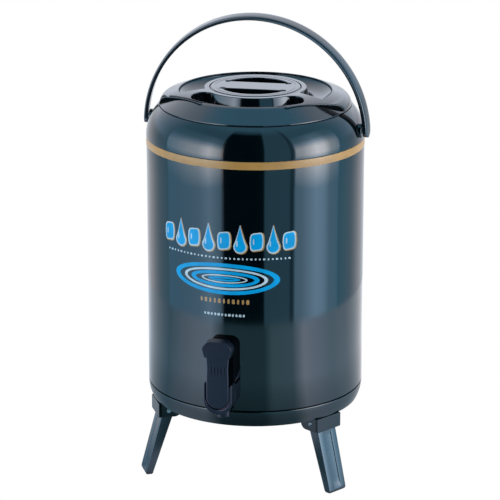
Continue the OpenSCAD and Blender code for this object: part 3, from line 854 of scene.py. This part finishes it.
def make_lever():
    crease, waist = inlet_z + 42, inlet_z + 24
    top, brow = lever_top, lever_top - 7.5
    low_end = arc(0, paddle_z, PADDLE_HALF, 0, -pi, 1.0)
    right = [(13, crease + 2), (12.3, waist + 12), (11.9, waist + 6), (12.0, waist), (PADDLE_HALF, waist - 5)]
    paddle = right + low_end + [(-x, z) for x, z in reversed(right)]
    bm = bmesh.new()
    add_slab(bm, paddle, -LEVER_FACE + 0.7, -LEVER_FACE + 3.6)
    flat = make("lever_paddle", bm, tap_plastic, "lever", ["tap_lever"], bevel=1.2)

    # The hood is a front plate with a wall round its top and sides, and an arm that reaches into the tower.
    crown = [(14, crease, 1), (17, brow, 6), (10.5, top, 6), (-10.5, top, 6), (-17, brow, 6)]
    inside = [(-14, crease, 1), (-12.6, crease, 0), (-14.8, brow, 0), (-9.8, top - 1.8, 0),
        (9.8, top - 1.8, 0), (14.8, brow, 0), (12.6, crease, 0)]
    arm_z, arm_end = inlet_z + 44, chamber_y - 3.4
    arm = [(-ARM_HALF, arm_z), (ARM_HALF, arm_z), (ARM_HALF, arm_z + ARM_T), (-ARM_HALF, arm_z + ARM_T)]
    bm = bmesh.new()
    add_slab(bm, rounded([inside[0], *crown], 6), -LEVER_FACE - 1.5, -LEVER_FACE + 2.6)
    add_slab(bm, rounded([*inside, *crown], 6), -LEVER_FACE + 2, -144.8)
    add_slab(bm, arm, -LEVER_FACE + 2, arm_end)
    hood = make("lever_hood", bm, tap_plastic, "lever", ["tap_lever"], bevel=0.8)
    for obj in (hood, flat):
        obj.visible_glossy = False

    z0, z1 = inlet_z + 23, inlet_z + 32
    bm = bmesh.new()
    for i in range(-2, 3):
        x0, x1 = i * RIDGE_PITCH - RIDGE_HALF, i * RIDGE_PITCH + RIDGE_HALF
        ridge = rounded([(x, z, 0.6) for x, z in ((x0, z0), (x1, z0), (x1, z1), (x0, z1))], 3)
        add_slab(bm, ridge, -LEVER_FACE - 0.4, -LEVER_FACE + 1.2)
    make("lever_ridges", bm, tap_plastic, "lever", ["tap_lever"], bevel=0.25)


# ---- Legs ----
LEAN = radians(15.4)
FOOT_X = 130.2
HUB_R = 6.0
LEG_TOP_W, LEG_FOOT_W = 29.4, 26.2
CHANNEL_HALF, CHANNEL_DEPTH = 5.6, 0.85
EAR_IN, BRACKET_HALF = 15.2, 18.2
BRACKET_OUT, BRACKET_IN, BRACKET_T = 116.0, 90, 3.5
BASE_RIM_IN = 111


def outer_x(z):
    return FOOT_X - (z - foot_top) * tan(LEAN)


def inner_x(z):
    return outer_x(z) - 8.4 - (z - foot_top) * 0.068


def leg_loop(z, x0, x1, channel):
    """One level section of a leg, with a shallow channel in its outer face."""
    half = (LEG_FOOT_W + (LEG_TOP_W - LEG_FOOT_W) * z / seam_z) / 2
    side, floor_half = CHANNEL_HALF, CHANNEL_HALF - 0.6
    section = rounded([(x0, -half, 0.8), (x1, -half, 1.0), (x1, -side, 0.3), (x1 - channel, -floor_half, 0.3),
        (x1 - channel, floor_half, 0.3), (x1, side, 0.3), (x1, half, 1.0), (x0, half, 0.8)], 3)
    return [(x, y, z) for x, y in section]


def make_leg_strut(name, angle):
    flat = 0.01
    rows, hub_rows = 24, 9
    loops = []
    for k in range(rows + 1):
        z = foot_top + (hinge_z - foot_top) * k / rows
        fade = min(max((z - foot_top - 4) / 3, 0), max((hinge_z - 9 - z) / 3, 0), 1)
        back = inner_x(z) if z < hinge_z - 7 else hinge_x - HUB_R
        loops.append(leg_loop(z, max(back, 0), max(outer_x(z), hinge_x + 5.5), flat + CHANNEL_DEPTH * fade))
    for k in range(1, hub_rows):
        a = pi / 2 * k / hub_rows
        reach = HUB_R * cos(a)
        loops.append(leg_loop(hinge_z + HUB_R * sin(a), hinge_x - reach, hinge_x + reach * 0.92, flat))
    bm = bmesh.new()
    add_loops(bm, loops, capped=True)
    make("leg_strut_" + name, bm, leg_plastic, "leg_" + name, ["leg_" + name],
        place=turned(angle))


def make_foot_pad(name, angle):
    half = LEG_FOOT_W / 2
    levels = ((foot_top, 0), (2.2, 0), (0.8, 0.6), (0.25, 1.0), (0.0, 1.8))
    pads = []
    for z, cut in levels:
        x0, x1 = inner_x(foot_top) + cut, outer_x(foot_top) + (foot_top - z) * 0.1 - cut
        y = half - cut
        pads.append([(px, py, z) for px, py in rounded([(x0, -y, 1.2), (x1, -y, 1.2), (x1, y, 1.2),
            (x0, y, 1.2)], 3)])
    bm = bmesh.new()
    add_loops(bm, pads, capped=True)
    make("foot_pad_" + name, bm, rubber, "leg_" + name, ["foot_" + name], place=turned(angle))


def make_bracket(name, angle):
    half, top = BRACKET_HALF, rim_z - 0.1
    plate_z, out_x = rim_z + 4.9, BRACKET_OUT - 0.4
    front = rounded([(-half, bracket_low, 1.2), (half, bracket_low, 1.2), (half, top, 0), (-half, top, 0)], 3)
    ear = rounded([(BRACKET_IN, bracket_low + 8, 0), (BRACKET_IN, bracket_low, 7.5),
        (out_x, bracket_low, 0.8), (out_x, top, 0), (BASE_RIM_IN, top, 0), (BASE_RIM_IN, plate_z, 0),
        (BRACKET_IN, plate_z, 0)], 6)
    plate = [(BRACKET_IN, rim_z), (BASE_RIM_IN, rim_z), (BASE_RIM_IN, plate_z), (BRACKET_IN, plate_z)]
    bm = bmesh.new()
    x0, x1 = BRACKET_OUT - BRACKET_T, BRACKET_OUT
    add_loops(bm, [[(x, y, z) for y, z in front] for x in (x0, x1)], capped=True)
    for y0, y1 in ((-half, -EAR_IN), (EAR_IN, half)):
        add_slab(bm, ear, y0, y1)
    add_slab(bm, plate, -EAR_IN - 1, EAR_IN + 1)
    make("bracket_" + name + "_moulding", bm, base_plastic, "jug", ["bracket_" + name],
        bevel=0.6, place=turned(angle))


def make_legs():
    for name, angle in LEG_ANGLES.items():
        make_leg_strut(name, angle)
        make_foot_pad(name, angle)
        make_bracket(name, angle)


# ---- Printed pattern: ripples, cubes and drops ----
# The middle of the pattern and the step between its shapes are in degrees round the wall.
PRINT_MIDDLE, PRINT_STEP = -1.0, 8.5
PRINT_UNDER = -0.05
# Least height of a column, so that no face has zero area.
THIN = 0.01


def on_wall(degrees, z, lift):
    a = radians(degrees)
    return ((body_r + lift) * sin(a), -(body_r + lift) * cos(a), z)


def add_patch(bm, columns, lift):
    """A thin printed patch on the wall. columns are (degrees, low height, high height)."""
    rows = 4
    loops = []
    for degrees, z0, z1 in columns:
        heights = [z0 + (z1 - z0) * k / rows for k in range(rows + 1)]
        loops.append([on_wall(degrees, z0, PRINT_UNDER), *[on_wall(degrees, z, lift) for z in heights],
            on_wall(degrees, z1, PRINT_UNDER)])
    add_loops(bm, loops, capped=True)


def ripple_ring(name, material, z, half_w, half_h, stroke):
    """One ring of a ripple on still water, as an upper and a lower arc."""
    steps = 96
    bm = bmesh.new()
    inner_w, inner_h = half_w - 1.6 * stroke, half_h - stroke
    for side in (1, -1):
        columns = []
        for k in range(steps + 1):
            x = -half_w * cos(pi * k / steps)
            outer = half_h * sqrt(max(1 - (x / half_w) ** 2, 0)) + THIN
            inner = inner_h * sqrt(max(1 - (x / inner_w) ** 2, 0))
            z0, z1 = sorted((z + side * inner, z + side * outer))
            columns.append((PRINT_MIDDLE + to_degrees(x / body_r), z0, z1))
        add_patch(bm, columns, 0.1)
    make(name, bm, material, "jug")


def cube_columns(degrees, z, half_w, half_h, tilt, grow):
    """A rounded square that leans a little."""
    steps = 24
    half, tall = to_degrees((half_w + grow) / body_r), half_h + grow
    columns = []
    for k in range(steps + 1):
        t = -1 + 2 * k / steps
        drop = tall * (1 - max(1 - abs(t) ** 5, 0) ** 0.4)
        middle = z + tilt * t * half_w
        columns.append((degrees + t * half, middle - tall + drop - THIN, middle + tall - drop + THIN))
    return columns


def drop_columns(degrees, z, size, height, grow):
    """A drop: round below, drawn out to a point above."""
    steps = 32
    half, round_z = to_degrees((size + grow) / body_r), z - height / 2 + size
    columns = []
    for k in range(steps + 1):
        t = -1 + 2 * k / steps
        round_part = sqrt(max(1 - t * t, 0)) * (size + grow)
        point = max(height - size, 0) * max(1 - abs(t) * 1.15, 0) ** 1.4
        columns.append((degrees + t * half, round_z - round_part - THIN,
            round_z + round_part * 0.8 + point + grow * 0.4 + THIN))
    return columns


def make_print():
    make_cube_row(297, 9)
    # Each line of dashes: height, number, step, half width, half height, ink, name, slot.
    dashes = ((277.5, 32, 2.2, 0.95, 1.0, ink_white, "dash_line_upper", "body_paint"),
        (229.0, 11, 2.5, 1.25, 2.6, ink_tan, "bar_line", "gold"),
        (213.5, 12, 1.9, 1.15, 1.4, ink_white, "dash_line_lower", "body_paint"))
    for z, number, pitch, half_w, half_h, ink, name, slot in dashes:
        bm = bmesh.new()
        for i in range(number):
            wide = half_w * (1.35 if i % 3 == 1 else 0.95)
            degrees = PRINT_MIDDLE + (i - (number - 1) / 2) * pitch
            add_patch(bm, cube_columns(degrees, z, wide, half_h, 0, 0), 0.1)
        make(name, bm, ink, "jug")

    # Each ring of the ripple: half width, half height, stroke, ink.
    ripple_z = 254
    rings = ((61, 17.5, 4.2, ink_cyan), (48, 12.2, 2.3, ink_white), (39, 9.0, 3.6, ink_cyan),
        (26, 4.7, 1.4, ink_white), (18, 2.6, 2.2, ink_cyan))
    for i, (half_w, half_h, stroke, ink) in enumerate(rings):
        ripple_ring("ripple_ring_%d" % (i + 1), ink, ripple_z, half_w, half_h, stroke)


def make_cube_row(row_z, count):
    """Cubes and drops in turn, in three layers of ink and a shine."""
    shadow, border, face, shine = (bmesh.new() for _ in range(4))
    # Each layer: mesh, growth, lift, shift.
    layers = ((shadow, 1.9, 0.06, 0.9), (border, 1.3, 0.11, 0), (face, 0, 0.16, 0))
    for i in range(count):
        degrees = PRINT_MIDDLE + (i - (count - 1) / 2) * PRINT_STEP
        for bm, grow, lift, shift in layers:
            z = row_z - shift * 0.5
            if i % 2:
                columns = drop_columns(degrees + shift * 0.4, z, 6.0, 24, grow)
            else:
                columns = cube_columns(degrees + shift * 0.4, z, 6.3, 8.6, 0.14, grow)
            add_patch(bm, columns, lift)
        side = to_degrees(3.2 / body_r)
        add_patch(shine, cube_columns(degrees - side, row_z - 2.5 * (i % 2), 0.7, 3.2, 0, 0), 0.2)
    make("cube_row_shadow", shadow, ink_tan, "jug")
    make("cube_row_border", border, ink_white, "jug")
    make("cube_row", face, ink_cyan, "jug")
    make("cube_row_shine", shine, ink_white, "jug")


# ---- Everything else keeps its CAD shape ----
# Small pieces of the tap that show no mirror image in the glossy wall, as the tower and the lever.
NO_MIRROR = ("lever_pin", "valve_stem", "valve_spring", "valve_seal")


def dress_nodes():
    slots = {part["node"]: part["material_slot"] for part in frame["record"]["subparts"]}
    for name, obj in frame["nodes"].items():
        obj.data.materials.clear()
        obj.data.materials.append(SLOT_OF[slots[name]])
        if name in NO_MIRROR:
            obj.visible_glossy = False


# ---- Stage ----
AZIMUTH, ELEVATION = radians(15.5), radians(17.09)
TARGET = Vector((0, 0, 0.2512))
DISTANCE = 2.979
SIDESTEP = -0.006
SENSOR, LENS = 36, 192.4


def make_camera():
    back = Vector((sin(AZIMUTH) * cos(ELEVATION), -cos(AZIMUTH) * cos(ELEVATION),
        sin(ELEVATION)))
    right = Vector((cos(AZIMUTH), sin(AZIMUTH), 0))
    data = bpy.data.cameras.new("camera")
    data.sensor_width = SENSOR
    data.lens = LENS
    camera = bpy.data.objects.new("camera", data)
    camera.location = TARGET + back * DISTANCE + right * SIDESTEP
    camera.rotation_mode = "QUATERNION"
    camera.rotation_quaternion = (-back).to_track_quat("-Z", "Y")
    bpy.context.scene.collection.objects.link(camera)
    bpy.context.scene.camera = camera


def floor_material():
    """Plain white where it is seen. In reflections it is white beside the jug and dark in front of it."""
    m = Surface("floor_paint")
    split = m.add("SeparateXYZ", Vector=m.place)
    around = m.maths("ARCTAN2", split.outputs["X"], m.maths("MULTIPLY", split.outputs["Y"], -1))
    share = m.ramp(around, 0, 1, -pi, pi)

    def at(degrees):
        return (degrees + to_degrees(AZIMUTH)) / 360 + 0.5

    colour = m.colours(share, [(0, (1.3, 1.32, 1.4)), (at(-125), (0.85, 1.02, 1.2)),
        (at(-95), (0.5, 0.95, 1.3)), (at(-60), (1.8, 2.4, 3.1)), (at(-44), (2.1, 2.8, 3.6)),
        (at(-30), (0.25, 0.6, 0.75)), (at(9), (0.25, 0.6, 0.75)), (at(16), (0.7, 1.3, 1.6)),
        (at(36), (0.8, 1.4, 1.8)), (at(48), (2.6, 3.2, 4.0)), (at(62), (2.0, 2.6, 3.4)),
        (at(80), (1.25, 1.85, 2.35)), (at(105), (1.0, 1.3, 1.6)), (at(140), (1.3, 1.32, 1.4))])
    out = m.add("VectorMath", Vector=m.place)
    out.operation = "LENGTH"
    strength = m.ramp(out.outputs["Value"], 0.3, 1, 0.14, 0.5)
    m.show(m.add("Emission", Color=(1, 1, 1)), m.add("Emission", Color=colour, Strength=strength),
        "Material Output")
    return m.material


def make_floor():
    bm = bmesh.new()
    radius, count, below = 0.72 / MM, 128, -0.02
    rings = [1, *(radius * k / 5 for k in range(1, 6))]
    add_loops(bm, [[(r * cos(TURN * k / count), r * sin(TURN * k / count), below)
        for k in range(count)] for r in rings])
    mesh = bpy.data.meshes.new("floor")
    bm.to_mesh(mesh)
    bm.free()
    floor = bpy.data.objects.new("floor", mesh)
    bpy.context.scene.collection.objects.link(floor)
    mesh.materials.append(floor_material())


def softbox(name, azimuth, width, height, low_z, across, up, power):
    """A tall soft panel beside the jug. azimuth is seen from above, from the camera's side, in degrees."""
    distance = 1.0
    data = bpy.data.lights.new(name, "AREA")
    data.shape = "RECTANGLE"
    data.size = width
    data.size_y = height
    data.energy = 1.0
    data.use_nodes = True
    g = Graph(data.node_tree)
    split = g.add("SeparateXYZ", Vector=g.add("NewGeometry").outputs["Parametric"])
    colour = g.mix(1, g.colours(split.outputs["X"], across), g.colours(split.outputs["Y"], up), "MULTIPLY")
    glow = g.tree.nodes["Emission"]
    g.link(colour, glow.inputs["Color"])
    glow.inputs["Strength"].default_value = power * pi * width * height
    light = bpy.data.objects.new(name, data)
    a = AZIMUTH + radians(azimuth)
    outward = Vector((sin(a), -cos(a), 0))
    light.location = outward * distance + Vector((0, 0, low_z + height / 2))
    light.rotation_mode = "QUATERNION"
    light.rotation_quaternion = (-outward).to_track_quat("-Z", "Y")
    light.visible_camera = False
    bpy.context.scene.collection.objects.link(light)


GREY = [(0.0, (0.16, 0.23, 0.33)), (0.27, (0.18, 0.26, 0.36)), (0.42, (1, 0.97, 1.0)), (0.58, (1, 0.97, 1.0)),
    (0.72, (0.30, 0.36, 0.46)), (0.8, (0.10, 0.14, 0.18)), (1.0, (0.02, 0.04, 0.06))]


def make_lights():
    softbox("softbox_left", -66, 1.35, 1.5, -0.3,
        [(0.0, (0.08, 0.12, 0.16)), (0.25, (0.22, 0.26, 0.3)), (0.6, (0.55, 0.58, 0.6)), (0.76, (1, 1, 1)),
            (0.9, (0.62, 0.62, 0.62)), (1.0, (0.32, 0.32, 0.32))], GREY, 8)
    softbox("softbox_right", 66, 1.0, 1.5, -0.3,
        [(0.0, (0.4, 0.4, 0.4)), (0.15, (0.45, 0.45, 0.45)), (0.45, (1, 1, 1)), (0.6, (0.8, 0.8, 0.8)),
            (0.75, (0.3, 0.3, 0.3)), (1.0, (0.12, 0.14, 0.16))], GREY, 11)


def make_world():
    """White behind, dark in front and soft teal grey from above, as a studio looks to the jug."""
    world = bpy.data.worlds.new("studio")
    world.use_nodes = True
    bpy.context.scene.world = world
    g = Graph(world.node_tree)
    turn = g.add("VectorRotate", Vector=g.add("TexCoord").outputs["Generated"], Angle=-AZIMUTH)
    turn.rotation_type = "Z_AXIS"
    x, y, z = g.add("SeparateXYZ", Vector=turn.outputs["Vector"]).outputs
    around = g.maths("ARCTAN2", x, g.maths("MULTIPLY", y, -1))
    share = g.maths("ADD", g.maths("DIVIDE", around, TURN), 0.5)
    teal, black, white = (0.45, 1.15, 1.65), (0.0, 0.02, 0.03), (1.0, 1.05, 1.15)
    rear, overhead = (1.5, 1.62, 1.85), (0.5, 1.35, 2.0)
    low_side, high_side = (0.55, 0.85, 1.1), (0.8, 1.3, 1.8)

    def at(degrees):
        return degrees / 360 + 0.5

    def blend(low_z, high_z, first, second):
        """Goes from the first colour to the second between two heights."""
        return g.mix(g.ramp(z, 0, 1, low_z, high_z), first, second)

    front = [(at(-100), shade(teal, 0.9)), (at(-36), shade(teal, 0.9)), (at(-35.5), black), (at(8.5), black),
        (at(9.5), shade(teal, 0.78)), (at(36), shade(teal, 0.8)), (at(37), shade(teal, 0.3)),
        (at(40), shade(teal, 0.3)), (at(41), teal), (at(100), teal)]
    low_band = g.colours(share, [(0, white), (at(-140), white), (at(-120), low_side), *front,
        (at(120), low_side), (at(140), white)])
    high_band = g.colours(share, [(0, rear), (at(-150), rear), (at(-120), high_side), *front,
        (at(120), high_side), (at(150), rear)])
    lit = g.tree.nodes["Background"]
    g.link(blend(0.80, 0.93, blend(0.02, 0.16, low_band, high_band), overhead), lit.inputs["Color"])
    g.show(g.add("Background", Color=(1, 1, 1)), lit, "World Output")


dress_nodes()
make_camera()
make_floor()
make_lights()
make_world()
make_body()
make_shoulder()
make_lid()
make_cap()
make_base()
make_bail()
make_tap_housing()
make_lever()
make_legs()
make_print()
bpy.context.scene.view_settings.view_transform = "Standard"
